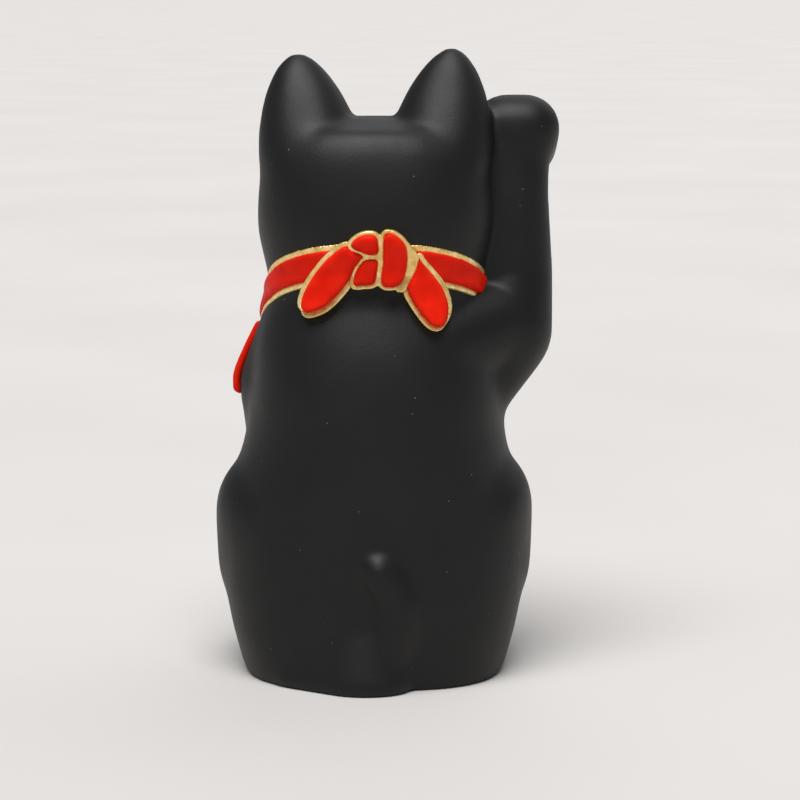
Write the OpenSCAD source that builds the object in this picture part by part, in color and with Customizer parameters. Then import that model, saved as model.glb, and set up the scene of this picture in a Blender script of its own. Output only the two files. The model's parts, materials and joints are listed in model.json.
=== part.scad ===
// Beckoning cat figurine: a hollow slip-cast stoneware cat sitting upright, with one foreleg raised
// beside its head. Millimetres, +Z up, face towards -Y, origin in the middle of the base.

/* [Figure] */
// Height of the crown between the ears
crown_h = 223; // [190:1:280]
// How far the tip of the left ear rises above the crown
ear_rise = 26; // [18:1:34]
// How far the tip of the right ear rises above the crown
right_ear_rise = 28; // [18:1:34]
// Width of an ear at its root
ear_w = 42; // [34:1:46]
// Thickness of an ear at its root, front to back
ear_d = 51; // [40:1:60]
// Distance from the upright axis to the middle of an ear's root
ear_in = 24.4; // [20:0.2:28]
// Width across the haunches
hip_w = 129; // [112:1:156]
// Width of the head at the cheeks
head_w = 94; // [84:1:112]
// From the upright axis to the back
back_d = 53; // [46:1:64]
// From the upright axis to the belly
belly_d = 51; // [44:1:62]
// How far the rump stands out behind the base
rump_out = 10; // [6:1:14]
// How far the tail stands out from the back
tail_out = 6.4; // [3:0.2:8]

/* [Casting] */
// Thickness of the cast wall
wall = 5; // [3.5:0.5:7]
// Diameter of the vent hole in the base
vent_d = 14; // [8:1:20]

/* [Forelegs] */
// Thickness of the raised foreleg
arm_d = 29; // [24:1:34]
// Diameter of the raised paw
paw_d = 31; // [26:1:36]
// Diameter of the bent elbow of the raised foreleg
elbow_d = 43; // [38:1:48]
// Thickness of the lowered foreleg
foreleg_d = 24; // [20:1:28]

/* [Collar and knot] */
// Width of the collar with its two piped edges
collar_w = 12.4; // [11:0.2:16]
// How far the collar stands out from the neck
collar_t = 2.4; // [1.6:0.2:3.6]
// Slope of the collar, down towards the chest
collar_tilt = 25; // [18:1:28]
// Slope of the collar, down towards the raised foreleg
collar_roll = 0.2; // [0:0.2:3]
// Width of the gold piping
piping_w = 2; // [1.6:0.1:3]
// How far the knot stands out from the neck
knot_t = 7; // [5:0.5:9]
// Width across the body of the knot
knot_w = 27; // [22:1:31]
// Height of the body of the knot
knot_h = 24; // [20:1:28]
// Length of the two knot ends
tail_l = 31; // [26:1:35]

/* [Bib, bell and coin] */
// Depth of the bib below the collar
bib_drop = 38; // [32:1:44]
// Thickness of the bib
bib_t = 3; // [2:0.5:4]
// How far in front of the upright axis the bib ends at the sides
bib_edge = 5; // [0:1:12]
// Diameter of the bell
bell_d = 21; // [17:1:25]
// Width of the coin
coin_w = 31; // [26:1:36]
// Length of the coin
coin_l = 52; // [44:1:60]
// Thickness of the coin
coin_t = 5; // [4:0.5:7]

/* [Face] */
// Width of an eye
eye_w = 21; // [18:1:24]
// Height of an eye
eye_h = 17; // [14:1:20]
// How far painted relief stands out
paint_t = 0.8; // [0.6:0.1:1.2]

/* [Hidden] */

black = [0.13, 0.13, 0.13];
red = [0.85, 0.13, 0.08];
gold = [0.80, 0.66, 0.33];
amber = [0.93, 0.78, 0.30];

hip = hip_w / 2;
cheek = head_w / 2;
far = 200;         // reaches past the whole figure
neck_z = 0.674 * crown_h;  // height of the collar's middle at the axis
bib_top = neck_z - tan(collar_tilt) * 0.70 * belly_d - collar_w / 2; // where bib and collar meet in front
bib_low = bib_top - bib_drop; // the lowered paw and the coin meet the bib at its lower edge
ring_points = 48;
ring_count = 34;

// Sections of head and trunk: height, half width, depth behind the axis, depth in front, squareness
// and shift in x.
SECTIONS = [
    [0.000 * crown_h, 0.800 * hip, 0.90 * back_d, 0.84 * belly_d, 2.8, 0.0],
    [0.018 * crown_h, 0.830 * hip, 0.92 * back_d, 0.90 * belly_d, 2.7, 0.0],
    [0.075 * crown_h, 0.885 * hip, 0.94 * back_d, 0.94 * belly_d, 2.6, 0.0],
    [0.160 * crown_h, 0.940 * hip, 0.96 * back_d, 0.98 * belly_d, 2.4, 0.0],
    [0.270 * crown_h, 0.955 * hip, 0.98 * back_d, 1.00 * belly_d, 2.25, 0.0],
    [0.350 * crown_h, 0.885 * hip, 1.00 * back_d, 0.98 * belly_d, 2.2, 0.0],
    [0.430 * crown_h, 0.805 * hip, 1.00 * back_d, 0.94 * belly_d, 2.2, -0.6],
    [0.520 * crown_h, 0.775 * hip, 0.97 * back_d, 0.88 * belly_d, 2.25, -0.8],
    [0.610 * crown_h, 0.735 * hip, 0.88 * back_d, 0.78 * belly_d, 2.3, -1.0],
    [0.675 * crown_h, 0.925 * cheek, 0.76 * back_d, 0.70 * belly_d, 2.3, -1.4],
    [0.708 * crown_h, 0.910 * cheek, 0.72 * back_d, 0.71 * belly_d, 2.3, -1.4],
    [0.740 * crown_h, 0.940 * cheek, 0.74 * back_d, 0.78 * belly_d, 2.3, -1.2],
    [0.815 * crown_h, 0.995 * cheek, 0.80 * back_d, 0.90 * belly_d, 2.5, -0.8],
    [0.890 * crown_h, 0.970 * cheek, 0.77 * back_d, 0.88 * belly_d, 2.7, -0.7],
    [0.945 * crown_h, 0.900 * cheek, 0.71 * back_d, 0.72 * belly_d, 2.7, -0.6],
    [0.982 * crown_h, 0.740 * cheek, 0.60 * back_d, 0.50 * belly_d, 2.6, -0.4],
    [1.000 * crown_h, 0.460 * cheek, 0.32 * back_d, 0.20 * belly_d, 2.2, -0.4]
];

// A smooth curve through four values, at u from 0 to 1 between the middle two.
function blend(a, b, c, d, u) =
    0.5 * (2 * b + (c - a) * u + (2 * a - 5 * b + 4 * c - d) * u * u + (3 * b - a - 3 * c + d) * u * u * u);

function span_at(z, i = 0) = i >= len(SECTIONS) - 2 || SECTIONS[i + 1][0] > z ? i : span_at(z, i + 1);

// Half width, depth behind, depth in front, squareness and shift at height z, grown on every side.
function section(z, grow = 0) =
    let (
        h = min(max(z, 0), crown_h),
        i = span_at(h),
        n = len(SECTIONS) - 1,
        u = (h - SECTIONS[i][0]) / (SECTIONS[i + 1][0] - SECTIONS[i][0]),
        near = [for (j = [i - 1 : i + 2]) SECTIONS[min(max(j, 0), n)]],
        at = [for (k = [1 : 5]) blend(near[0][k], near[1][k], near[2][k], near[3][k], u)]
    )
    [at[0] + grow, at[1] + grow, at[2] + grow, at[3], at[4]];

function signed_power(v, p) = sign(v) * pow(abs(v), p);

// A point of the trunk's skin at angle a and height z, lifted to height lift.
function skin_point(a, z, grow, lift) =
    let (s = section(z, grow), p = 2 / s[3], side = sin(a) >= 0 ? s[1] : s[2])
    [s[4] + s[0] * signed_power(cos(a), p), side * signed_power(sin(a), p), lift];

// How far the skin curves in at a place, from 1 at the middle to 0 at the side.
function fullness(x, s) = pow(max(0, 1 - pow(abs(x - s[4]) / s[0], s[3])), 1 / s[3]);

// Depth of the skin behind the axis, or in front of it, at a place.
function back_at(x, z) = let (s = section(z)) s[1] * fullness(x, s);
function front_at(x, z) = let (s = section(z)) -s[2] * fullness(x, s);

// A closed solid through rings that all have the same number of points.
module loft(rings) {
    n = len(rings[0]);
    m = len(rings);
    polyhedron(
        points = [for (r = rings) each r],
        faces = concat(
            [[for (i = [0 : n - 1]) i]],
            [for (j = [0 : m - 2]) for (i = [0 : n - 1])
                let (k = (i + 1) % n, low = j * n, high = low + n)
                each [[low + i, high + k, low + k], [low + i, high + i, high + k]]],
            [[for (i = [n - 1 : -1 : 0]) (m - 1) * n + i]]
        )
    );
}

// Head and trunk. A negative growth makes the cavity, which keeps the wall at crown and base too.
module trunk(grow = 0, points = ring_points, count = ring_count) {
    low = max(-grow, 0);
    high = crown_h + grow;
    loft([for (j = [0 : count])
        let (share = (1 - cos(180 * j / count)) / 2, z = share * crown_h, lift = low + share * (high - low))
        [for (i = [0 : points - 1]) skin_point(360 * i / points, z, grow, lift)]]);
}

// An upright blunt ear, deep at its root so that its back runs on from the back of the head.
ear_root = 20;   // how far below the crown it starts
ear_lean = 6.2;  // how far its tip stands outwards of its root
ear_y = 8;
ear_square = 0.92; // below 1 makes the back of the ear flatter
ear_shift = -0.6; // the head sits a little to the right of the axis
ear_steps = 10;
module ear(side, grow = 0, points = 24) {
    root_z = crown_h - ear_root;
    h = (side > 0 ? ear_rise : right_ear_rise) + ear_root;
    loft([for (j = [0 : ear_steps])
        let (t = 0.985 * sin(90 * j / ear_steps), fall = pow(1 - t * t, 0.65))
        [for (i = [0 : points - 1])
            let (
                a = 360 * i / points,
                across = (ear_w / 2 + grow) * fall * signed_power(cos(a), ear_square),
                deep = (ear_d / 2 * (1 - 0.42 * t) + grow) * fall * signed_power(sin(a), ear_square)
            )
            [side * (ear_in + ear_lean * t) + ear_shift + across, ear_y * (1 - 0.6 * t) + deep,
             root_z + t * (h + grow)]]]);
}

// A limb: balls joined one after another. Each ball is its centre and its diameter.
module limb(balls, grow = 0, fn = 24) {
    for (i = [0 : len(balls) - 2])
        hull()
            for (b = [balls[i], balls[i + 1]])
                translate(b[0]) sphere(d = b[1] + 2 * grow, $fn = fn);
}

// The raised foreleg: from the side of the chest to the elbow, then up beside the head to the bent paw.
arm_x = -(cheek + arm_d / 2 - 6);
elbow = [[-1.07 * cheek, -1, 0.618 * crown_h], elbow_d];
RAISED = [
    [[-0.80 * cheek, 1, 0.485 * crown_h], 0.66 * elbow_d],
    elbow,
    [[arm_x, -4, 0.715 * crown_h], arm_d + 3.5],
    [[arm_x, -5, 0.850 * crown_h], arm_d],
    [[arm_x - 1, -8, 0.930 * crown_h], arm_d - 1.5]
];
SHOULDER = [
    [[-0.50 * cheek, 0.42 * back_d, 0.600 * crown_h], 0.90 * elbow_d],
    [[-0.98 * cheek, 0.12 * back_d, 0.632 * crown_h], 0.84 * elbow_d],
    elbow
];

// The side of the raised foreleg that is pressed flat against neck and head.
PRESSED = [
    [[-0.98 * cheek, -1, 0.690 * crown_h], arm_d],
    [[-0.97 * cheek, -3, 0.850 * crown_h], arm_d - 2],
    [[-0.97 * cheek, -6, 0.930 * crown_h], arm_d - 4]
];

// The paw bends forwards and is broader than the wrist.
paw_z = 0.980 * crown_h;
PAW = [
    [[arm_x + 2.5, -8, paw_z], paw_d - 5],
    [[arm_x - 6, -8, paw_z], paw_d - 5],
    [[arm_x - 5, -22, paw_z - 7], paw_d - 4],
    [[arm_x + 1.5, -22, paw_z - 7], paw_d - 4]
];

// The lowered foreleg: its upper part is cast with the trunk, and the forearm reaches for the coin.
lower_elbow = [0.635 * hip, -14, 0.430 * crown_h];
UPPER_LEG = [
    [[0.50 * hip, 2, 0.642 * crown_h], foreleg_d],
    [[0.66 * hip, -5, 0.520 * crown_h], foreleg_d + 1],
    [lower_elbow, foreleg_d - 1]
];
paw_at = [0.34 * hip, -belly_d - 3, bib_low - 3.5];
FOREARM = [
    [lower_elbow, foreleg_d - 3],
    [[0.56 * hip, -0.84 * belly_d, (lower_elbow[2] + paw_at[2]) / 2], foreleg_d - 1],
    [paw_at, foreleg_d - 2]
];

// A haunch with its hind paw. side is 1 on the cat's left and -1 on its right.
module haunch(side) {
    hull() {
        translate([side * 0.60 * hip, 2, (side > 0 ? 0.290 : 0.298) * crown_h])
            scale([1, 1.42, 1]) sphere(r = 0.395 * hip, $fn = 24);
        translate([side * 0.62 * hip, -5, 0.195 * crown_h])
            scale([1, 1.5, 1.15]) sphere(r = 0.37 * hip, $fn = 24);
        translate([side * 0.60 * hip, -16, 0.055 * crown_h])
            scale([1, 1.5, 0.54]) sphere(r = 0.235 * hip, $fn = 24);
    }
    for (toe = [-1 : 1])
        hull() {
            translate([side * 0.50 * hip + 7.5 * toe, -belly_d - 1 + 1.5 * abs(toe), 9])
                sphere(r = 7.5, $fn = 14);
            translate([side * 0.50 * hip + 6.5 * toe, -0.62 * belly_d, 11]) sphere(r = 9, $fn = 14);
        }
}

// The short tail lies up the back as a low ridge that fades into the rump.
tail_steps = 6;
function tail_ball(t) =
    let (x = 4 - 14 * sin(15 + 140 * t), z = 6 + 0.195 * crown_h * t, d = 14 + 8 * (1 - t))
    [[x, back_at(x, z) + tail_out * (1 - 0.5 * pow(1 - t, 2)) - d / 2, z], d];
module tail() {
    limb([for (i = [0 : tail_steps]) tail_ball(i / tail_steps)]);
}

// The rump stands out behind the base as a broad soft lobe.
module rump() {
    y = 0.91 * back_d;
    hull() {
        translate([3, y + rump_out - 11, 3]) scale([1.6, 1, 0.75]) sphere(r = 11, $fn = 24);
        translate([9, y - 11, 4]) scale([2.6, 1.02, 0.8]) sphere(r = 12, $fn = 24);
        translate([4, y - 18, 50]) scale([2, 1, 1]) sphere(r = 12, $fn = 20);
    }
}

// The muzzle, cheeks and brow make the face stand out from the head.
module muzzle() {
    for (side = [-1, 1])
        translate([side * 8, -0.86 * belly_d + 4, 0.772 * crown_h])
            scale([1.15, 1, 0.85]) sphere(r = 11, $fn = 20);
    translate([0, -0.84 * belly_d + 4, 0.745 * crown_h]) scale([1.2, 1, 0.7]) sphere(r = 10, $fn = 20);
}

// Trims off what would sink under the base.
module above_ground() {
    intersection() {
        children();
        translate([-far, -far, 0]) cube([2 * far, 2 * far, 2 * far]);
    }
}

// Three toes side by side at a place.
module toes(at, spread, r) {
    for (k = [-1 : 1])
        translate(at + [spread * k, 1.2 * abs(k), 0]) scale([1, 1.2, 1]) sphere(r = r, $fn = 14);
}

// The body as cast, without the raised foreleg.
module body_form() {
    above_ground() {
        trunk();
        for (side = [-1, 1]) {
            ear(side);
            haunch(side);
        }
        tail();
        rump();
        muzzle();
        limb(UPPER_LEG);
    }
}

module raised_form() {
    limb([RAISED[0], RAISED[1]]);
    limb(SHOULDER);
    for (i = [0 : 2])
        hull() {
            for (b = [RAISED[i + 1], RAISED[i + 2]]) translate(b[0]) sphere(d = b[1], $fn = 24);
            for (b = [PRESSED[max(i - 1, 0)], PRESSED[i]]) translate(b[0]) sphere(d = b[1], $fn = 24);
        }
    hull() for (b = PAW) translate(b[0]) sphere(d = b[1], $fn = 24);
    hull() for (b = [RAISED[4], PAW[0], PAW[1]]) translate(b[0]) sphere(d = b[1], $fn = 24);
    toes([arm_x - 1.7, -22 - 0.38 * paw_d, paw_z - 7 - 0.2 * paw_d], 0.27 * paw_d, 0.19 * paw_d);
}

// The whole figure that collar, knot, bib and face lie on.
module figure() {
    body_form();
    raised_form();
}

module cavity() {
    trunk(-wall, 32, 20);
    for (side = [-1, 1]) ear(side, -wall, 20);
    translate([0, -16, -1]) cylinder(d = vent_d, h = wall + 8, $fn = 32);
}

module body_shell() {
    color(black) difference() {
        body_form();
        cavity();
    }
}

// The raised foreleg is hollow too, and is coped to the shoulder and head that it is luted to.
module raised_foreleg() {
    color(black) difference() {
        raised_form();
        limb(RAISED, -wall, 16);
        limb([RAISED[4], [(PAW[0][0] + PAW[1][0]) / 2, paw_d - 5]], -wall, 16);
        body_form();
    }
}

module lowered_form() {
    limb(FOREARM);
    toes(paw_at + [0, -0.36 * foreleg_d, -0.1 * foreleg_d], 0.27 * foreleg_d, 0.2 * foreleg_d);
}

module lowered_foreleg() {
    color(black) difference() {
        lowered_form();
        body_form();
    }
}

// ---- Collar ----

piping_out = 0.55 * collar_t;     // the piping lies lower than the band between

// A flat slice between two distances from the collar's middle plane, sloped as the collar is.
module collar_slice(from, to) {
    translate([0, 0, neck_z]) rotate([collar_tilt, -collar_roll, 0])
        translate([-far, -far, from]) cube([2 * far, 2 * far, to - from]);
}

// A ring round the neck, between two distances from the middle plane.
module neck_ring(from, to, out) {
    color(from > -collar_w / 2 && to < collar_w / 2 ? red : gold) difference() {
        intersection() {
            trunk(out);
            collar_slice(from, to);
        }
        figure();
        knot_space();
        bell_space();
    }
}

module collar_band() neck_ring(piping_w - collar_w / 2, collar_w / 2 - piping_w, collar_t);
module collar_piping_upper() neck_ring(collar_w / 2 - piping_w, collar_w / 2, piping_out);
module collar_piping_lower() neck_ring(-collar_w / 2, piping_w - collar_w / 2, piping_out);

// ---- Knot ----

// Outlines as seen from behind: first number towards the cat's right, second up, from the knot's middle.
WRAP = [
    [1, 10.4], [3, 11.6], [5.8, 10.4], [8.6, 7.4], [9.6, 2.6],
    [9, -3], [7.2, -7.6], [4.6, -8.8], [0, -8], [0.8, 0]
];
UPPER_FOLD = [
    [-12, 6.8], [-9.4, 9.8], [-5.4, 11.2], [-2.4, 10.4],
    [-1.6, 7], [-1.8, 4], [-5.2, 3.6], [-8.4, 5]
];
LOWER_FOLD = [
    [-7.2, 0.6], [-4.6, 1.4], [-1.8, 1], [-2.2, -3.6],
    [-3.2, -7.8], [-7.4, -8.4], [-11, -8.4], [-10, -3.6]
];
SIDE_TURN = [[7, 9], [11.6, 6.2], [14, 2.4], [13.6, -2], [12.2, -5], [10.4, -8], [8.6, -11], [5, -9]];
LEFT_END = [
    [-13.2, 6.6], [-6.8, 3.4], [-8.6, -0.4], [-11.8, -4.2], [-14, -8], [-19.4, -14.2], [-24, -17.6],
    [-29.6, -19.4], [-31.6, -17.2], [-29.4, -10.4], [-23.8, -2], [-19, 3]
];
RIGHT_END = [
    [13, 4], [15.4, -0.2], [19, -4.6], [23.4, -10.6], [25.8, -18.6], [23.6, -24.4],
    [19, -23.4], [13.4, -16.6], [10, -10], [12, -4.6], [13.4, -0.4]
];

// A closed smooth outline through a few points.
function curved(outline, steps = 3) =
    let (n = len(outline))
    [for (i = [0 : n - 1]) for (k = [0 : steps - 1])
        blend(outline[(i + n - 1) % n], outline[i], outline[(i + 1) % n], outline[(i + 2) % n], k / steps)];

knot_x = -3.6;
knot_y = 0.77 * back_d;
knot_z = neck_z + tan(collar_tilt) * knot_y;

// Places an outline drawn round the knot's middle on the x and z of the figure.
module round_knot() {
    translate([knot_x, knot_z]) scale([-knot_w / 27, knot_h / 24]) children();
}

module rounded(outline, by = 0.8) {
    offset(r = by, $fn = 12) offset(delta = -by) polygon(curved(outline));
}

// A loose end, longer or shorter from its root.
module end_outline(outline) {
    root = outline[0];
    translate(root) scale([1, 1] * tail_l / 31) translate(-root) rounded(outline, 0.6);
}

// Pushes an outline drawn in x and z through the back half of the figure.
module through_back() {
    translate([0, far, 0]) rotate([90, 0, 0]) linear_extrude(height = far) children();
}

// Pushes an outline drawn in x and z through the front half.
module through_front() {
    rotate([90, 0, 0]) linear_extrude(height = far) children();
}

module knot_folds() {
    round_knot() {
        rounded(WRAP);
        rounded(UPPER_FOLD);
        rounded(LOWER_FOLD);
    }
}

// The knot with its outer piping, which fills the notches between the folds and is broad at the right.
module knot_outline() {
    line = 0.75 * piping_w;
    offset(delta = -line) offset(r = 2 * line, $fn = 12) knot_folds();
    round_knot() rounded(SIDE_TURN, 0.6);
}

module knot_space() {
    through_back() knot_outline();
}

// Relief on the back, out to a given distance from the skin.
module back_relief(out, tint) {
    color(tint) difference() {
        intersection() {
            trunk(out);
            through_back() children();
        }
        figure();
    }
}

module knot_wrap() back_relief(knot_t, red) round_knot() rounded(WRAP);
module knot_upper_fold() back_relief(knot_t - 1, red) round_knot() rounded(UPPER_FOLD);
module knot_lower_fold() back_relief(knot_t - 2, red) round_knot() rounded(LOWER_FOLD);

// Gold piping fills the lines between the pieces of the knot and runs round it.
module knot_piping() {
    back_relief(knot_t - 2.5, gold) difference() {
        knot_outline();
        knot_folds();
    }
}

// The loose ends lie over the collar and are coped to it and to the knot.
module knot_end(out, tint) {
    difference() {
        back_relief(out, tint) difference() {
            children();
            knot_outline();
        }
        collar_space();
    }
}

// What the collar takes up.
module collar_space() {
    intersection() {
        trunk(collar_t);
        collar_slice(-collar_w / 2, collar_w / 2);
    }
}

// The piping of a loose end, which is broader on the sides that it leans to.
module end_piping(outline, leans) {
    difference() {
        union() {
            offset(r = 0.3 * piping_w, $fn = 8) end_outline(outline);
            for (lean = leans)
                translate(piping_w * lean) offset(r = 0.4 * piping_w, $fn = 8) end_outline(outline);
        }
        end_outline(outline);
    }
}

end_out = collar_t + 2.6;
module knot_end_left() knot_end(end_out, red) round_knot() end_outline(LEFT_END);
module knot_end_right() knot_end(end_out, red) round_knot() end_outline(RIGHT_END);
module knot_end_piping_left() {
    knot_end(end_out - 1.4, gold) round_knot() end_piping(LEFT_END, [[0.4, -0.7], [-0.3, 0.5]]);
}
module knot_end_piping_right() {
    knot_end(end_out - 1.4, gold) round_knot() end_piping(RIGHT_END, [[-0.5, -0.4], [0.3, 0.6]]);
}

// ---- Bib, bell and coin ----

// The bib as seen from the front: a wide scallop from shoulder to shoulder.
module bib_outline() {
    hull() {
        for (side = [-1, 1]) {
            translate([side * (0.66 * hip + 12), 0.520 * crown_h]) circle(r = 5, $fn = 24);
            translate([side * 0.66 * hip, neck_z + 8]) circle(r = 6, $fn = 24);
        }
        translate([0, bib_low + 24]) scale([42, 24]) circle(r = 1, $fn = 60);
    }
}

module bib_space() {
    difference() {
        intersection() {
            union() {
                trunk(bib_t - 1);
                limb(UPPER_LEG, bib_t);
            }
            translate([0, -bib_edge, 0]) through_front() bib_outline();
        }
        collar_slice(-collar_w / 2, far);
    }
}

module bib() {
    color(red) difference() {
        bib_space();
        figure();
        lowered_form();
        bell_space();
    }
}

bell_z = bib_top - bell_d / 2 + 2;
bell_y = front_at(0, bell_z) - 0.4 * bell_d;
bell_slot = 1.8;
bell_fit = 0.1;    // clearance between the bell and what it lies on
loop_d = 6.4;      // across the middle of the loop's wire
loop_wire = 2.2;
loop_z = bell_z + bell_d / 2 + 0.8;
loop_y = front_at(0, loop_z - loop_d / 2) - collar_t - bell_fit - (loop_d + loop_wire) / 2;

// A round bell with a raised belt and a slot, hung from the collar by a loop. It is modelled solid.
module bell() {
    color(gold) union() {
        difference() {
            translate([0, bell_y, bell_z]) {
                sphere(d = bell_d, $fn = 48);
                translate([0, 0, -1]) cylinder(d = bell_d + 1.6, h = 2, $fn = 48);
            }
            translate([0, bell_y, bell_z]) bell_slit();
            chest_bed();
        }
        translate([0, loop_y, loop_z]) rotate([0, 90, 0])
            rotate_extrude($fn = 32) translate([loop_d / 2, 0]) circle(d = loop_wire, $fn = 20);
    }
}

// The groove round the lower half of the bell.
module bell_slit() {
    difference() {
        translate([-bell_slot / 2, -far, -far]) cube([bell_slot, 2 * far, far - 1.5]);
        sphere(d = bell_d - 3, $fn = 48);
    }
}

// The flat bed that the bell lies on, just clear of the chest and sloped as it is.
module chest_bed() {
    slope = atan2(front_at(0, bell_z + 10) - front_at(0, bell_z - 10), 20);
    translate([0, front_at(0, bell_z) - 1, bell_z]) rotate([-slope, 0, 0])
        translate([-far / 2, 0, -far / 2]) cube(far);
}

// The hollow that the bell's round back takes up in the bib.
module bell_space() {
    translate([0, bell_y, bell_z]) {
        hull() sphere(d = bell_d + 2 * bell_fit, $fn = 32);
        hull() translate([0, 0, -1 - bell_fit])
            cylinder(d = bell_d + 1.6 + 2 * bell_fit, h = 2 + 2 * bell_fit, $fn = 32);
    }
}

coin_z = bib_low - coin_l / 2;
coin_x = 0.16 * hip;
coin_y = -belly_d - coin_t / 2 + 1.5;
module coin_outline(grow = 0) {
    hull()
        for (s = [-1, 1])
            translate([0, s * (coin_l - coin_w) / 2]) circle(d = coin_w + 2 * grow, $fn = 40);
}

// An oval coin with a raised rim and pressed cross lines, leaning on the belly.
module coin() {
    color(gold) difference() {
        translate([coin_x, coin_y, coin_z]) rotate([0, -12, 0]) rotate([90, 0, 0])
            translate([0, 0, -coin_t / 2]) difference() {
                linear_extrude(height = coin_t) coin_outline();
                translate([0, 0, coin_t - 0.8]) linear_extrude(height = 2) difference() {
                    coin_outline(-2);
                    for (k = [-3 : 3])
                        translate([0, k * coin_l / 8]) square([coin_w, 1.6], center = true);
                }
            }
        figure();
        lowered_form();
    }
}

// ---- Face and ears ----

eye_x = 0.36 * cheek;
eye_z = 0.845 * crown_h;

module eye_outline(side, grow = 0) {
    translate([side * eye_x, eye_z]) rotate(side * 8)
        scale([eye_w / 2 + grow, eye_h / 2 + grow]) circle(r = 1, $fn = 30);
}

module pupil_outline(side, grow = 0) {
    translate([side * (eye_x - 1), eye_z])
        scale([0.17 * eye_w + grow, 0.40 * eye_h + grow]) circle(r = 1, $fn = 20);
}

// Relief on the face, out to a given distance from the skin.
module face_relief(out, tint) {
    color(tint) difference() {
        intersection() {
            trunk(out);
            through_front() children();
        }
        figure();
    }
}

module eye_left() face_relief(paint_t, amber) difference() {
    eye_outline(1);
    pupil_outline(1, 0.05);
}
module eye_right() face_relief(paint_t, amber) difference() {
    eye_outline(-1);
    pupil_outline(-1, 0.05);
}
module pupil_left() face_relief(paint_t, black) pupil_outline(1);
module pupil_right() face_relief(paint_t, black) pupil_outline(-1);

nose_z = 0.805 * crown_h;
module nose() {
    color(red) difference() {
        hull() {
            for (s = [-1, 1])
                translate([s * 3.2, -0.97 * belly_d, nose_z + 1.5]) sphere(r = 2.4, $fn = 20);
            translate([0, -0.99 * belly_d, nose_z - 2.5]) sphere(r = 1.8, $fn = 20);
        }
        figure();
    }
}

// The red lining on the front of each ear.
module ear_lining(side) {
    color(red) difference() {
        intersection() {
            ear(side, paint_t);
            through_front() hull() {
                for (x = [-3, 8]) translate([side * (ear_in + x), crown_h + 1]) circle(r = 4.5, $fn = 24);
                translate([side * (ear_in + ear_lean) + ear_shift, crown_h + ear_rise - 9])
                    circle(r = 3.5, $fn = 24);
            }
            translate([-far, -far, 0]) cube([2 * far, far - 3, 2 * far]);
        }
        figure();
    }
}
module ear_lining_left() ear_lining(1);
module ear_lining_right() ear_lining(-1);

body_shell();
raised_foreleg();
lowered_foreleg();
collar_band();
collar_piping_upper();
collar_piping_lower();
knot_wrap();
knot_upper_fold();
knot_lower_fold();
knot_piping();
knot_end_left();
knot_end_right();
knot_end_piping_left();
knot_end_piping_right();
bib();
bell();
coin();
ear_lining_left();
ear_lining_right();
eye_left();
eye_right();
pupil_left();
pupil_right();
nose();
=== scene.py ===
"""Looks of a beckoning cat figurine: matte black stoneware with red and gold relief.

Every piece but the face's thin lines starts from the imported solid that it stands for, so its place
and size are the solid's own. The clay is softened the way a cast and sponged figure is, and each
finish is a procedural material.
"""

import json
import logging
import math
from dataclasses import dataclass, field
from enum import Enum
from typing import Iterable, List, Optional, Sequence, Tuple

import bpy
from mathutils import Matrix, Vector

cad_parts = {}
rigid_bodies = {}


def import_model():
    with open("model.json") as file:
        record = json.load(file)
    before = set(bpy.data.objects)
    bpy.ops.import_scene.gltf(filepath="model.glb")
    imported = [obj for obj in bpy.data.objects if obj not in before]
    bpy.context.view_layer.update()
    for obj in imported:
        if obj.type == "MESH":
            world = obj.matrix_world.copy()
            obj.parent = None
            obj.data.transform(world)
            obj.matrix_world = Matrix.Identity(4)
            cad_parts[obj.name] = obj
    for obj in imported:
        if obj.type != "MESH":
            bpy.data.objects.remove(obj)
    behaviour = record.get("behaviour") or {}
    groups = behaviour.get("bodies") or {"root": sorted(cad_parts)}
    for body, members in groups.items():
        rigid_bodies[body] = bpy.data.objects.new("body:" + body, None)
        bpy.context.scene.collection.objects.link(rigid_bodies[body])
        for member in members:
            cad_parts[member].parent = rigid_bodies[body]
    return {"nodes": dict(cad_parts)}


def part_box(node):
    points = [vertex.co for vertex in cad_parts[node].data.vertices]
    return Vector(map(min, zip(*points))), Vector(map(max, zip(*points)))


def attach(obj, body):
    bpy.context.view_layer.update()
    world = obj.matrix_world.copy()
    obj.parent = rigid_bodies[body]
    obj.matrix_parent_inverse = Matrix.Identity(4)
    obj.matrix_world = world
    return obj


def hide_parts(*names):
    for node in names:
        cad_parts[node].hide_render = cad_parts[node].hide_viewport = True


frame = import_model()

LOG = logging.getLogger("beckoning_cat")
MM = 0.001
WELD = 0.01 * MM
SMOOTHING = 0.5
Colour = Tuple[float, float, float, float]
Triple = Tuple[float, float, float]
Pair = Tuple[float, float]
Socket = bpy.types.NodeSocket
Piece = bpy.types.Object


# ---------------------------------------------------------------- finishes


class Slot(Enum):
    """The record's material slots."""

    BLACK = "black_glaze"
    RED = "red_enamel"
    GOLD = "gold_enamel"
    EYE = "eye_paint"
    PUPIL = "pupil_paint"


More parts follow.
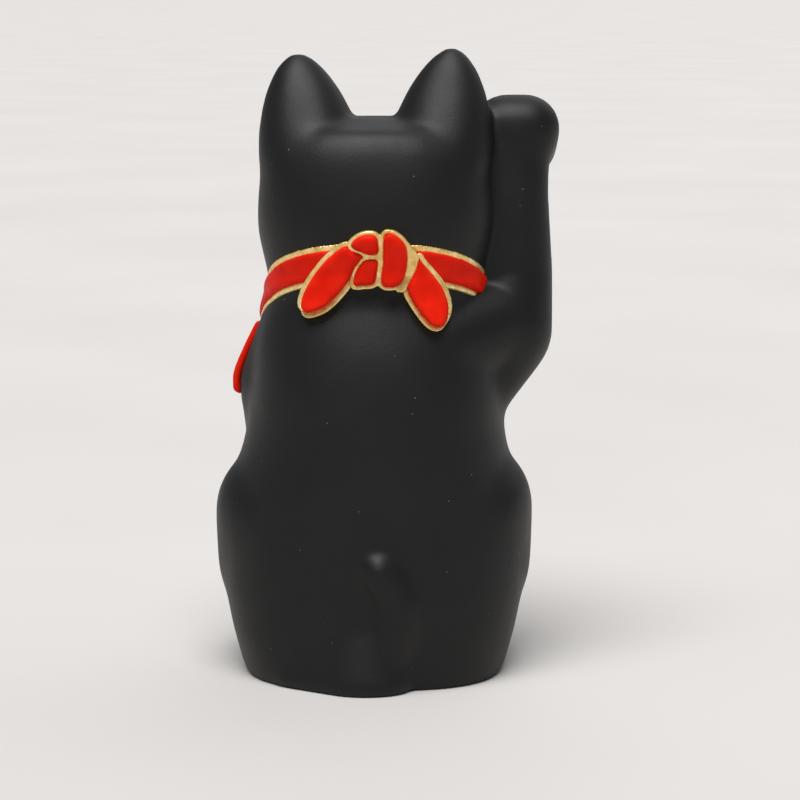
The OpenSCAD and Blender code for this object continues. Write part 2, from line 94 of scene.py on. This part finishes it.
class NodeTree:
    """A small builder for one material's nodes."""

    def __init__(self, name: str) -> None:
        """Starts an empty material with a Principled shader.

        Args:
            name: The material's name.
        """
        self.material = bpy.data.materials.new(name)
        self.material.use_nodes = True
        self.tree = self.material.node_tree
        self.shader = self.tree.nodes["Principled BSDF"]
        self.coordinates = self.tree.nodes.new("ShaderNodeTexCoord").outputs["Object"]

    def link(self, source: Socket, target: Socket) -> None:
        """Joins the source output to the target input."""
        self.tree.links.new(source, target)

    def feed(self, source: Socket, name: str) -> None:
        """Joins an output to the shader's input of that name."""
        self.link(source, self.shader.inputs[name])

    def fix(self, name: str, value: float) -> None:
        """Sets the shader's input of that name to one value all over."""
        self.shader.inputs[name].default_value = value

    def noise(self, scale: float, detail: float = 4.0, rough: float = 0.5,
              stretch: Optional[Triple] = None) -> Socket:
        """Adds a noise in object space.

        Args:
            scale: Waves per metre.
            detail: Octaves.
            rough: Weight of the fine octaves.
            stretch: Scale along each axis, if it is not even.

        Returns:
            The noise's value.
        """
        node = self.tree.nodes.new("ShaderNodeTexNoise")
        node.inputs["Scale"].default_value = scale
        node.inputs["Detail"].default_value = detail
        node.inputs["Roughness"].default_value = rough
        source = self.coordinates
        if stretch:
            mapping = self.tree.nodes.new("ShaderNodeMapping")
            mapping.inputs["Scale"].default_value = stretch
            self.link(source, mapping.inputs["Vector"])
            source = mapping.outputs["Vector"]
        self.link(source, node.inputs["Vector"])
        return node.outputs["Fac"]

    def specks(self, scale: float) -> Socket:
        """Adds the distance to scattered points in object space.

        Args:
            scale: Cells per metre.

        Returns:
            The distance to the nearest point, in cells.
        """
        node = self.tree.nodes.new("ShaderNodeTexVoronoi")
        node.inputs["Scale"].default_value = scale
        self.link(self.coordinates, node.inputs["Vector"])
        return node.outputs["Distance"]

    def ramp(self, value: Socket, stops: Sequence[Tuple[float, Colour]]) -> Socket:
        """Turns a value into a colour.

        Args:
            value: The value to read.
            stops: Positions from 0 to 1, with the colour at each.

        Returns:
            The colour.
        """
        node = self.tree.nodes.new("ShaderNodeValToRGB")
        band = node.color_ramp
        while len(band.elements) < len(stops):
            band.elements.new(0.5)
        for element, (place, colour) in zip(band.elements, stops):
            element.position = place
            element.color = colour
        self.link(value, node.inputs["Fac"])
        return node.outputs["Color"]

    def spread(self, value: Socket, low: float, high: float,
               first: float = 0.3, last: float = 0.7) -> Socket:
        """Maps a value onto another range.

        Args:
            value: The value to read.
            low: The result at first.
            high: The result at last.
            first: Lowest value read.
            last: Highest value read.

        Returns:
            The mapped value.
        """
        node = self.tree.nodes.new("ShaderNodeMapRange")
        node.inputs["From Min"].default_value = first
        node.inputs["From Max"].default_value = last
        node.inputs["To Min"].default_value = low
        node.inputs["To Max"].default_value = high
        self.link(value, node.inputs["Value"])
        return node.outputs["Result"]

    def mix(self, share: Socket, first: Socket, second: Socket) -> Socket:
        """Mixes two colours by a share.

        Args:
            share: 0 for the first colour and 1 for the second.
            first: The first colour.
            second: The second colour.

        Returns:
            The mixed colour.
        """
        node = self.tree.nodes.new("ShaderNodeMix")
        node.data_type = "RGBA"
        self.link(share, node.inputs[0])
        self.link(first, node.inputs[6])
        self.link(second, node.inputs[7])
        return node.outputs[2]

    def bump(self, height: Socket, depth: float, strength: float = 1.0,
             under: Optional[Socket] = None) -> Socket:
        """Adds a bump.

        Args:
            height: The height to read.
            depth: Metres that a height of one stands for.
            strength: How much of the bump shows.
            under: A bump that this one lies on.

        Returns:
            The bent normal.
        """
        node = self.tree.nodes.new("ShaderNodeBump")
        node.inputs["Strength"].default_value = strength
        node.inputs["Distance"].default_value = depth
        self.link(height, node.inputs["Height"])
        if under:
            self.link(under, node.inputs["Normal"])
        return node.outputs["Normal"]


@dataclass(frozen=True)
class StonewareBlack:
    """Matte black glaze on cast clay: faint clouding, a dry grain and a few pale specks.

    Scales are waves or cells per metre, and depths are metres.
    """

    name: str = "stoneware_black"
    dark: Colour = (0.0030, 0.0028, 0.0028, 1.0)
    light: Colour = (0.0058, 0.0054, 0.0054, 1.0)
    speck: Colour = (0.16, 0.15, 0.14, 1.0)
    cloud_scale: float = 34.0
    speck_cells: float = 210.0
    speck_edge: Pair = (0.035, 0.075)
    patch_scale: float = 95.0
    patch_edge: Pair = (0.62, 0.68)
    sheen_scale: float = 60.0
    roughest: float = 0.55
    smoothest: float = 0.48
    specular: float = 0.32
    dimple_scale: float = 70.0
    dimple_depth: float = 0.0006
    dimple_strength: float = 0.35
    grain_scale: float = 900.0
    grain_depth: float = 0.00012
    grain_strength: float = 0.5

    def scattered(self, nodes: NodeTree) -> Socket:
        """Finds where a pale speck shows: near a scattered point, and only in some patches.

        Args:
            nodes: The material's nodes.

        Returns:
            1 on a speck and 0 beside it.
        """
        fleck = nodes.spread(nodes.specks(self.speck_cells), 1.0, 0.0, *self.speck_edge)
        patch = nodes.spread(nodes.noise(self.patch_scale, 1.0), 0.0, 1.0, *self.patch_edge)
        share = nodes.tree.nodes.new("ShaderNodeMath")
        share.operation = "MULTIPLY"
        nodes.link(fleck, share.inputs[0])
        nodes.link(patch, share.inputs[1])
        return share.outputs[0]

    def material(self) -> bpy.types.Material:
        """Builds the glaze.

        Returns:
            The material.
        """
        nodes = NodeTree(self.name)
        cloud = nodes.ramp(nodes.noise(self.cloud_scale, 5.0, 0.6),
                           [(0.3, self.dark), (0.72, self.light)])
        pale = nodes.tree.nodes.new("ShaderNodeRGB")
        pale.outputs[0].default_value = self.speck
        nodes.feed(nodes.mix(self.scattered(nodes), cloud, pale.outputs[0]), "Base Color")
        nodes.feed(nodes.spread(nodes.noise(self.sheen_scale), self.smoothest, self.roughest),
                   "Roughness")
        nodes.fix("Specular IOR Level", self.specular)
        dimples = nodes.bump(nodes.noise(self.dimple_scale, 3.0), self.dimple_depth,
                             self.dimple_strength)
        grain = nodes.bump(nodes.noise(self.grain_scale, 3.0, 0.6), self.grain_depth,
                           self.grain_strength, dimples)
        nodes.feed(grain, "Normal")
        return nodes.material


@dataclass(frozen=True)
class RedEnamel:
    """Satin red enamel laid on by brush."""

    name: str = "enamel_red"
    deep: Colour = (0.66, 0.009, 0.0015, 1.0)
    bright: Colour = (0.78, 0.016, 0.003, 1.0)
    coat_scale: float = 120.0
    sheen_scale: float = 300.0
    smoothest: float = 0.40
    roughest: float = 0.55
    specular: float = 0.07
    stroke_scale: float = 420.0
    stroke_stretch: Triple = (1.0, 1.0, 0.35)
    stroke_depth: float = 0.00018
    stroke_strength: float = 0.45

    def material(self) -> bpy.types.Material:
        """Builds the enamel.

        Returns:
            The material.
        """
        nodes = NodeTree(self.name)
        colour = nodes.ramp(nodes.noise(self.coat_scale, 4.0, 0.55),
                            [(0.3, self.deep), (0.68, self.bright)])
        nodes.feed(colour, "Base Color")
        nodes.feed(nodes.spread(nodes.noise(self.sheen_scale, 3.0), self.smoothest, self.roughest),
                   "Roughness")
        nodes.fix("Specular IOR Level", self.specular)
        strokes = nodes.noise(self.stroke_scale, 4.0, 0.55, self.stroke_stretch)
        nodes.feed(nodes.bump(strokes, self.stroke_depth, self.stroke_strength), "Normal")
        return nodes.material


@dataclass(frozen=True)
class BrushedGold:
    """Gold enamel with an uneven, streaky coat."""

    name: str = "enamel_gold"
    worn: Colour = (0.58, 0.37, 0.10, 1.0)
    middle: Colour = (0.84, 0.57, 0.18, 1.0)
    bright: Colour = (1.0, 0.80, 0.38, 1.0)
    streak_scale: float = 300.0
    streak_stretch: Triple = (1.0, 1.0, 0.6)
    metallic: float = 0.55
    sheen_scale: float = 520.0
    smoothest: float = 0.24
    roughest: float = 0.38
    ripple_scale: float = 360.0
    ripple_depth: float = 0.00016
    ripple_strength: float = 0.4

    def material(self) -> bpy.types.Material:
        """Builds the enamel.

        Returns:
            The material.
        """
        nodes = NodeTree(self.name)
        streaks = nodes.noise(self.streak_scale, 5.0, 0.6, self.streak_stretch)
        stops = [(0.30, self.worn), (0.46, self.middle), (0.66, self.bright)]
        nodes.feed(nodes.ramp(streaks, stops), "Base Color")
        nodes.fix("Metallic", self.metallic)
        nodes.feed(nodes.spread(nodes.noise(self.sheen_scale), self.smoothest, self.roughest),
                   "Roughness")
        ripples = nodes.noise(self.ripple_scale, 3.0)
        nodes.feed(nodes.bump(ripples, self.ripple_depth, self.ripple_strength), "Normal")
        return nodes.material


@dataclass(frozen=True)
class EyeEnamel:
    """Yellow or black enamel of the eyes."""

    name: str
    dark: Colour
    light: Colour
    coat_scale: float = 160.0
    sheen_scale: float = 300.0
    smoothest: float = 0.22
    roughest: float = 0.34
    ripple_scale: float = 420.0
    ripple_depth: float = 0.0001
    ripple_strength: float = 0.4

    def material(self) -> bpy.types.Material:
        """Builds the enamel.

        Returns:
            The material.
        """
        nodes = NodeTree(self.name)
        colour = nodes.ramp(nodes.noise(self.coat_scale, 3.0),
                            [(0.3, self.dark), (0.7, self.light)])
        nodes.feed(colour, "Base Color")
        nodes.feed(nodes.spread(nodes.noise(self.sheen_scale, 2.0), self.smoothest, self.roughest),
                   "Roughness")
        ripples = nodes.noise(self.ripple_scale, 3.0)
        nodes.feed(nodes.bump(ripples, self.ripple_depth, self.ripple_strength), "Normal")
        return nodes.material


@dataclass(frozen=True)
class StudioPaper:
    """Pale paper under the figure."""

    name: str = "studio_paper"
    shade: Colour = (0.55, 0.53, 0.51, 1.0)
    light: Colour = (0.58, 0.56, 0.54, 1.0)
    cloud_scale: float = 3.0
    roughness: float = 0.75

    def material(self) -> bpy.types.Material:
        """Builds the paper.

        Returns:
            The material.
        """
        nodes = NodeTree(self.name)
        colour = nodes.ramp(nodes.noise(self.cloud_scale, 2.0),
                            [(0.3, self.shade), (0.7, self.light)])
        nodes.feed(colour, "Base Color")
        nodes.fix("Roughness", self.roughness)
        return nodes.material


# ---------------------------------------------------------------- modelling helpers


def only(*pieces: Piece) -> None:
    """Selects some pieces and nothing else, and makes the first one active.

    Args:
        pieces: The pieces to select.
    """
    if bpy.context.object and bpy.context.object.mode != "OBJECT":
        bpy.ops.object.mode_set(mode="OBJECT")
    bpy.ops.object.select_all(action="DESELECT")
    for piece in pieces:
        piece.select_set(True)
    bpy.context.view_layer.objects.active = pieces[0]


def settle(piece: Piece) -> Piece:
    """Moves a piece's place, turn and scale into its mesh.

    Args:
        piece: The piece.

    Returns:
        The piece, at the origin.
    """
    only(piece)
    bpy.ops.object.transform_apply(location=True, rotation=True, scale=True)
    return piece


def apply(piece: Piece, kind: str, **settings: object) -> Piece:
    """Adds a modifier to a piece and applies it.

    Args:
        piece: The piece.
        kind: The modifier's type.
        settings: The modifier's own values.

    Returns:
        The piece.
    """
    only(piece)
    modifier = piece.modifiers.new(kind.lower(), kind)
    for key, value in settings.items():
        setattr(modifier, key, value)
    bpy.ops.object.modifier_apply(modifier=modifier.name)
    return piece


def merged_copy(name: str, nodes: Iterable[str],
                sink: Sequence[Tuple[Vector, Vector]] = ()) -> Piece:
    """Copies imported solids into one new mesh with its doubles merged.

    Args:
        name: The new piece's name.
        nodes: The solids to copy.
        sink: Shift and scale of each further copy, which roots the piece in the clay under it.

    Returns:
        The new piece, at the origin.
    """
    made: List[Piece] = []
    in_place = (Vector((0, 0, 0)), Vector((1, 1, 1)))
    for node in nodes:
        source = frame["nodes"][node]
        for shift, scale in [in_place, *sink]:
            piece = bpy.data.objects.new(name, source.data.copy())
            piece.matrix_world = source.matrix_world.copy()
            bpy.context.scene.collection.objects.link(piece)
            settle(piece)
            piece.data.transform(Matrix.Translation(shift) @ Matrix.Diagonal((*scale, 1.0)))
            made.append(piece)
    only(*made)
    if len(made) > 1:
        bpy.ops.object.join()
    piece = bpy.context.object
    piece.name = name
    piece.data.name = name
    piece.data.materials.clear()
    bpy.ops.object.mode_set(mode="EDIT")
    bpy.ops.mesh.select_all(action="SELECT")
    bpy.ops.mesh.remove_doubles(threshold=WELD)
    bpy.ops.object.mode_set(mode="OBJECT")
    return piece


def even_faces(piece: Piece, voxel: float) -> Piece:
    """Gives a piece faces of one size.

    Args:
        piece: The piece.
        voxel: Size of the faces, in millimetres.

    Returns:
        The piece.
    """
    return apply(piece, "REMESH", mode="VOXEL", voxel_size=voxel * MM, adaptivity=0.0)


def soften(piece: Piece, voxel: float, swell: float, rounds: int) -> Piece:
    """Rounds a piece as sponged clay is: even faces, then a swelling, then smoothing.

    Args:
        piece: The piece.
        voxel: Size of the even faces, in millimetres.
        swell: How far the surface moves out first, in millimetres.
        rounds: Smoothing steps.

    Returns:
        The piece.
    """
    even_faces(piece, voxel)
    if swell:
        apply(piece, "DISPLACE", strength=swell * MM, mid_level=0.0)
    if rounds:
        apply(piece, "SMOOTH", factor=SMOOTHING, iterations=rounds)
    only(piece)
    bpy.ops.object.shade_smooth()
    return piece


def rise(value: float, low: float, high: float) -> float:
    """Runs evenly from 0 to 1, and stays there outside its ends.

    Args:
        value: The value to read.
        low: The value that gives 0.
        high: The value that gives 1.

    Returns:
        A share from 0 to 1.
    """
    return min(max((value - low) / (high - low), 0.0), 1.0)


def dress(piece: Piece, material: bpy.types.Material, slot: Slot, *nodes: str) -> Piece:
    """Gives a piece its finish and its body, and hides the solids that it stands for.

    Args:
        piece: The piece.
        material: Its finish.
        slot: The record's slot of that finish; not used.
        nodes: The solids that it replaces.

    Returns:
        The piece.
    """
    piece.data.materials.clear()
    piece.data.materials.append(material)
    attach(piece, "root")
    if nodes:
        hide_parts(*nodes)
    LOG.info("%s: %d faces", piece.name, len(piece.data.polygons))
    return piece


# ---------------------------------------------------------------- the figure


@dataclass
class Finishes:
    """The finishes that the figure is painted with."""

    black: bpy.types.Material = field(default_factory=lambda: StonewareBlack().material())
    red: bpy.types.Material = field(default_factory=lambda: RedEnamel().material())
    gold: bpy.types.Material = field(default_factory=lambda: BrushedGold().material())
    yellow: bpy.types.Material = field(default_factory=lambda: EyeEnamel(
        "enamel_yellow", (0.62, 0.36, 0.05, 1.0), (0.85, 0.58, 0.14, 1.0)).material())
    pupil: bpy.types.Material = field(default_factory=lambda: EyeEnamel(
        "enamel_pupil", (0.004, 0.004, 0.004, 1.0), (0.010, 0.010, 0.010, 1.0)).material())


@dataclass
class CastBody:
    """The hollow cast body with both forelegs luted on, sponged smooth where forms meet.

    Lengths are millimetres. Each band gives the ends of a rise: a height as a share of the crown's,
    or a distance from the middle plane as a share of half the body's width.
    """

    finishes: Finishes
    nodes: Tuple[str, ...] = ("body_shell", "raised_foreleg", "lowered_foreleg")
    voxel: float = 1.25
    swell: float = 0.75
    sponge_rounds: int = 130
    skin_rounds: int = 12
    vent_y: float = -16.0
    plug_radius: float = 9.0
    plug_height: float = 3.0
    plug_sides: int = 48
    recess: float = 4.0
    back_band: Pair = (-0.35, 0.05)
    base_band: Pair = (0.01, 0.08)
    collar_low: Pair = (0.56, 0.64)
    collar_high: Pair = (0.76, 0.82)
    ear_band: Pair = (0.97, 1.05)
    crown_band: Pair = (0.80, 0.92)
    crown_half: Pair = (0.30, 0.42)
    arm_side: Pair = (0.32, 0.50)
    arm_band: Pair = (0.46, 0.54)
    haunch_side: Pair = (0.72, 0.90)
    haunch_top: Pair = (0.42, 0.50)
    tail_right: Pair = (-0.38, -0.28)
    tail_left: Pair = (0.08, 0.22)
    tail_top: Pair = (0.24, 0.32)
    tail_back: Pair = (0.4, 0.6)
    collar_kept: float = 0.85
    ears_kept: float = 0.92
    crown_kept: float = 0.75
    arm_kept: float = 0.70
    haunch_kept: float = 0.45
    tail_kept: float = 0.65

    def vent_plug(self) -> Piece:
        """Models the slip that closes the vent a little way up.

        Returns:
            A disc across the vent hole.
        """
        bpy.ops.object.select_all(action="DESELECT")
        bpy.ops.mesh.primitive_cylinder_add(
            vertices=self.plug_sides, radius=self.plug_radius * MM, depth=self.plug_height * MM,
            location=(0.0, self.vent_y * MM, (self.recess + self.plug_height / 2) * MM))
        return settle(bpy.context.object)

    def drop_cavity(self, clay: Piece) -> None:
        """Deletes the closed inner wall, which nothing shows.

        Args:
            clay: The clay with its cavity plugged.
        """
        top = max(clay.data.vertices, key=lambda vertex: vertex.co.z).index
        only(clay)
        bpy.ops.object.mode_set(mode="EDIT")
        bpy.ops.mesh.select_all(action="DESELECT")
        bpy.ops.object.mode_set(mode="OBJECT")
        clay.data.vertices[top].select = True
        bpy.ops.object.mode_set(mode="EDIT")
        bpy.ops.mesh.select_mode(type="VERT")
        bpy.ops.mesh.select_linked()
        bpy.ops.mesh.select_all(action="INVERT")
        bpy.ops.mesh.delete(type="VERT")
        bpy.ops.object.mode_set(mode="OBJECT")

    def softness(self, place: Vector, crown: float, half: float) -> float:
        """Says how strongly the sponge works at a place.

        Args:
            place: The place on the clay.
            crown: Height of the raised paw's top, close to the crown's.
            half: Half the width of the body.

        Returns:
            0 where the form stays crisp, 1 where it is sponged most.
        """
        high = place.z / crown
        side = place.x / half
        back = rise(place.y, self.back_band[0] * half, self.back_band[1] * half)
        off_base = rise(high, *self.base_band)
        at_collar = rise(high, *self.collar_low) * (1.0 - rise(high, *self.collar_high))
        at_crown = rise(high, *self.crown_band) * (1.0 - rise(abs(side), *self.crown_half))
        at_arm = rise(-side, *self.arm_side) * rise(high, *self.arm_band)
        at_haunch = rise(abs(side), *self.haunch_side) * (1.0 - rise(high, *self.haunch_top))
        at_tail = (rise(side, *self.tail_right) * (1.0 - rise(side, *self.tail_left))
                   * (1.0 - rise(high, *self.tail_top))
                   * rise(place.y, self.tail_back[0] * half, self.tail_back[1] * half))
        kept = (
            (self.collar_kept, at_collar), (self.crown_kept, at_crown),
            (self.ears_kept, rise(high, *self.ear_band)), (self.arm_kept, at_arm),
            (self.haunch_kept, at_haunch), (self.tail_kept, at_tail))
        share = back * off_base
        for strength, nearness in kept:
            share *= 1.0 - strength * nearness
        return share

    def sponge(self, clay: Piece) -> None:
        """Blends the ears, haunches and shoulders into head and trunk.

        Args:
            clay: The evenly meshed clay.
        """
        low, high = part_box("body_shell")
        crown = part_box("raised_foreleg")[1][2]
        half = (high[0] - low[0]) / 2
        group = clay.vertex_groups.new(name="sponged")
        for vertex in clay.data.vertices:
            group.add([vertex.index], self.softness(vertex.co, crown, half), "REPLACE")
        apply(clay, "SMOOTH", factor=SMOOTHING, iterations=self.sponge_rounds,
              vertex_group="sponged")
        clay.vertex_groups.clear()

    def build(self) -> Piece:
        """Joins, sponges and dresses the clay.

        Returns:
            The figure's black clay.
        """
        clay = merged_copy("cat_body", self.nodes)
        plug = self.vent_plug()
        only(clay, plug)
        bpy.ops.object.join()
        soften(clay, self.voxel, self.swell, 0)
        self.drop_cavity(clay)
        self.sponge(clay)
        apply(clay, "SMOOTH", factor=SMOOTHING, iterations=self.skin_rounds)
        for vertex in clay.data.vertices:
            vertex.co.z = max(vertex.co.z, 0.0)
        return dress(clay, self.finishes.black, Slot.BLACK, *self.nodes)


@dataclass
class Relief:
    """One piece of coloured relief.

    Attributes:
        name: The piece's name.
        nodes: The solids that it stands for.
        material: Its finish.
        slot: The record's slot of that finish.
        voxel: Size of its faces, in millimetres.
        swell: How far its surface moves out before smoothing, in millimetres.
        rounds: Smoothing steps.
        shift: Move of the copy that roots it in the clay, in millimetres.
        scale: Scale of that copy about the origin.
        puff: How far its back is lifted before smoothing, in millimetres.
        back_facing: How straight back a place faces to be lifted, from 0 to 1.
    """

    name: str
    nodes: Tuple[str, ...]
    material: bpy.types.Material
    slot: Slot
    voxel: float = 0.5
    swell: float = 0.0
    rounds: int = 12
    shift: Triple = (0.0, 0.0, 0.0)
    scale: Triple = (1.0, 1.0, 1.0)
    puff: float = 0.0
    back_facing: float = 0.6

    def raise_back(self, piece: Piece) -> None:
        """Lifts the side that faces backwards, so that smoothing makes a cushion of it.

        Args:
            piece: The evenly meshed piece.
        """
        backs = [v.index for v in piece.data.vertices if v.normal.y > self.back_facing]
        group = piece.vertex_groups.new(name="back")
        group.add(backs, 1.0, "REPLACE")
        apply(piece, "DISPLACE", direction="Y", strength=self.puff * MM, mid_level=0.0,
              vertex_group="back")
        piece.vertex_groups.clear()

    def build(self) -> Piece:
        """Roots the relief in the clay, rounds it and dresses it.

        Returns:
            The piece.
        """
        rooted = any(self.shift) or self.scale != (1.0, 1.0, 1.0)
        sink = [(Vector(self.shift) * MM, Vector(self.scale))] if rooted else []
        piece = merged_copy(self.name, self.nodes, sink)
        if self.puff:
            even_faces(piece, self.voxel)
            self.raise_back(piece)
        soften(piece, self.voxel, self.swell, self.rounds)
        return dress(piece, self.material, self.slot, *self.nodes)


@dataclass
class Collar:
    """The collar with its two gold edges."""

    finishes: Finishes
    root_scale: Triple = (0.955, 0.955, 1.0)

    def build(self) -> None:
        """Builds the band and its piping."""
        Relief("collar_red", ("collar_band",), self.finishes.red, Slot.RED,
               voxel=0.5, swell=0.35, rounds=40, scale=self.root_scale).build()
        for edge in ("upper", "lower"):
            Relief(f"collar_gold_{edge}", (f"collar_piping_{edge}",), self.finishes.gold,
                   Slot.GOLD, voxel=0.36, swell=0.15, rounds=8, scale=self.root_scale).build()


@dataclass
class Knot:
    """The knot on the back of the neck, its two loose ends and their gold lines."""

    finishes: Finishes
    root_shift: Triple = (0.0, -2.5, 0.0)
    padded: Tuple[str, ...] = (
        "knot_wrap", "knot_upper_fold", "knot_lower_fold", "knot_end_left", "knot_end_right")
    lines: Tuple[str, ...] = ("knot_piping", "knot_end_piping_left", "knot_end_piping_right")

    def build(self) -> None:
        """Builds the turns, the ends and the gold."""
        for name in self.padded:
            Relief(f"{name}_red", (name,), self.finishes.red, Slot.RED, voxel=0.36, swell=0.35,
                   rounds=120, shift=self.root_shift, puff=1.3).build()
        for name in self.lines:
            Relief(f"{name}_gold", (name,), self.finishes.gold, Slot.GOLD, voxel=0.3, swell=0.15,
                   rounds=6, shift=self.root_shift).build()


@dataclass
class FrontRelief:
    """The bib, the bell, the coin, the ear linings, the eyes and the nose."""

    finishes: Finishes

    def build(self) -> None:
        """Builds each piece."""
        red, gold = self.finishes.red, self.finishes.gold
        yellow, pupil = self.finishes.yellow, self.finishes.pupil
        Relief("bib_red", ("bib",), red, Slot.RED, voxel=0.7, swell=0.2, rounds=20).build()
        Relief("bell_gold", ("bell",), gold, Slot.GOLD, voxel=0.4, rounds=3).build()
        Relief("coin_gold", ("coin",), gold, Slot.GOLD, voxel=0.36, rounds=3).build()
        Relief("nose_red", ("nose",), red, Slot.RED, voxel=0.35, rounds=4).build()
        for side in ("left", "right"):
            Relief(f"ear_lining_{side}_red", (f"ear_lining_{side}",), red, Slot.RED,
                   voxel=0.3, swell=0.25, rounds=3).build()
            Relief(f"eye_{side}_yellow", (f"eye_{side}",), yellow, Slot.EYE,
                   voxel=0.3, swell=0.2, rounds=3).build()
            Relief(f"pupil_{side}_black", (f"pupil_{side}",), pupil, Slot.PUPIL,
                   voxel=0.3, swell=0.25, rounds=3).build()


@dataclass
class FaceLines:
    """The mouth and the whiskers, trailed on as thin gold lines.

    Attributes:
        finishes: The figure's finishes.
        clay: The black clay that the lines lie on.
        thickness: Radius of a line at its fullest, in millimetres.
        lift: Height of a line's middle above the clay, in millimetres.
        ahead: A plane in front of the face, in metres, from which the lines are laid.
        taper: A line's fullness at its five places.
        mouth: The left half of the mouth, in millimetres out from and up from the nose.
        whiskers: Height of each whisker's inner and outer end, in millimetres.
        whisker_root: Distance of the upper whisker's inner end from the nose, in millimetres.
        whisker_step: Distance between a whisker's places, in millimetres.
    """

    finishes: Finishes
    clay: Piece
    thickness: float = 0.5
    lift: float = 0.1
    ahead: float = -0.2
    taper: Tuple[float, ...] = (0.45, 0.9, 1.0, 0.85, 0.3)
    mouth: Tuple[Pair, ...] = ((0.0, -4.5), (1.0, -8.0), (5.0, -10.5), (10.0, -9.5), (13.0, -6.0))
    whiskers: Tuple[Pair, ...] = ((2.0, 4.0), (-3.0, -1.0), (-8.0, -6.5))
    whisker_root: float = 21.0
    whisker_step: float = 4.4

    def trail(self, path: Sequence[Pair]) -> Piece:
        """Lays one line on the face, thick in its middle and thin at its ends.

        Args:
            path: Five places as x and z, in millimetres from the middle of the nose.

        Returns:
            The line.
        """
        low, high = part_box("nose")
        middle = Vector(((low[0] + high[0]) / 2, 0.0, (low[2] + high[2]) / 2))
        bpy.ops.object.select_all(action="DESELECT")
        bpy.ops.curve.primitive_nurbs_path_add()
        line = bpy.context.object
        for point, (x, z), fullness in zip(line.data.splines[0].points, path, self.taper):
            point.co = (middle.x + x * MM, self.ahead, middle.z + z * MM, 1.0)
            point.radius = fullness
        bpy.ops.object.mode_set(mode="EDIT")
        bpy.ops.curve.select_all(action="SELECT")
        bpy.ops.curve.subdivide(number_cuts=3)
        bpy.ops.object.mode_set(mode="OBJECT")
        for point in line.data.splines[0].points:
            hit, place, normal, _ = self.clay.ray_cast(point.co.xyz, Vector((0.0, 1.0, 0.0)))
            if hit:
                point.co = (*(place + normal * self.lift * MM), 1.0)
        line.data.bevel_depth = self.thickness * MM
        line.data.bevel_resolution = 3
        line.data.resolution_u = 3
        line.data.use_fill_caps = True
        bpy.ops.object.convert(target="MESH")
        return settle(bpy.context.object)

    def build(self) -> None:
        """Lays the mouth and three whiskers on each cheek."""
        lines: List[Piece] = []
        for side in (-1.0, 1.0):
            lines.append(self.trail([(side * out, up) for out, up in self.mouth]))
            for row, (inner, outer) in enumerate(self.whiskers):
                root = self.whisker_root - row
                lines.append(self.trail([
                    (side * (root + self.whisker_step * step),
                     inner + (outer - inner) * step / (len(self.taper) - 1))
                    for step in range(len(self.taper))]))
        only(*lines)
        bpy.ops.object.join()
        piece = bpy.context.object
        piece.name = "face_lines_gold"
        only(piece)
        bpy.ops.object.shade_smooth()
        dress(piece, self.finishes.gold, Slot.GOLD)


# ---------------------------------------------------------------- the studio


@dataclass(frozen=True)
class SoftLamp:
    """One broad soft light that falls evenly on figure and floor.

    Attributes:
        name: The light's name.
        source: The direction that it comes from.
        power: Its strength.
        spread: How wide it looks from the figure, in degrees.
        away: How far off it stands, as a multiple of the direction's length.
    """

    name: str
    source: Triple
    power: float
    spread: float
    away: float = 2.0

    def hang(self) -> None:
        """Sets the light."""
        bpy.ops.object.light_add(type="SUN", location=Vector(self.source) * self.away)
        lamp = bpy.context.object
        lamp.name = self.name
        lamp.data.energy = self.power
        lamp.data.angle = math.radians(self.spread)
        lamp.rotation_euler = (-Vector(self.source)).to_track_quat("-Z", "Y").to_euler()


@dataclass
class Studio:
    """The pale floor, the soft lights and the camera.

    Places are metres, the pitch is degrees, and lens and sensor are millimetres.
    """

    camera_at: Triple = (-0.01056, 1.030, 0.276)
    pitch: float = 9.215
    lens: float = 115.4
    sensor: float = 36.0
    floor_size: float = 200.0
    lamps: Tuple[SoftLamp, ...] = (
        SoftLamp("lamp_key", (0.12, 0.45, 1.2), 3.6, 42.0),
        SoftLamp("lamp_fill", (-0.4, -0.9, 0.9), 0.6, 60.0))
    air: Colour = (0.95, 0.96, 1.0, 1.0)
    air_strength: float = 0.26

    def lay_floor(self) -> None:
        """Lays the pale floor."""
        bpy.ops.object.select_all(action="DESELECT")
        bpy.ops.mesh.primitive_plane_add(size=self.floor_size, location=(0.0, 0.0, 0.0))
        sheet = bpy.context.object
        sheet.name = "studio_floor"
        settle(sheet)
        sheet.data.materials.append(StudioPaper().material())

    def fill_air(self) -> None:
        """Fills the room with a faint even light."""
        world = bpy.data.worlds.new("studio_air")
        world.use_nodes = True
        background = world.node_tree.nodes["Background"]
        background.inputs["Color"].default_value = self.air
        background.inputs["Strength"].default_value = self.air_strength
        bpy.context.scene.world = world
        bpy.context.scene.view_settings.view_transform = "Standard"

    def place_camera(self) -> None:
        """Sets the camera behind the figure, looking a little down on it."""
        bpy.ops.object.camera_add(location=self.camera_at)
        camera = bpy.context.object
        camera.name = "camera"
        camera.data.lens = self.lens
        camera.data.sensor_width = self.sensor
        camera.rotation_euler = (math.radians(90.0 - self.pitch), 0.0, math.radians(180.0))
        bpy.context.scene.camera = camera

    def build(self) -> None:
        """Sets the floor, the lamps, the air and the camera."""
        self.lay_floor()
        for lamp in self.lamps:
            lamp.hang()
        self.fill_air()
        self.place_camera()


def main() -> None:
    """Builds the studio and the figure."""
    logging.basicConfig(level=logging.INFO)
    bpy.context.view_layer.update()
    Studio().build()
    finishes = Finishes()
    clay = CastBody(finishes).build()
    for assembly in (Collar(finishes), Knot(finishes), FrontRelief(finishes),
                     FaceLines(finishes, clay)):
        assembly.build()


if __name__ == "__main__":
    main()
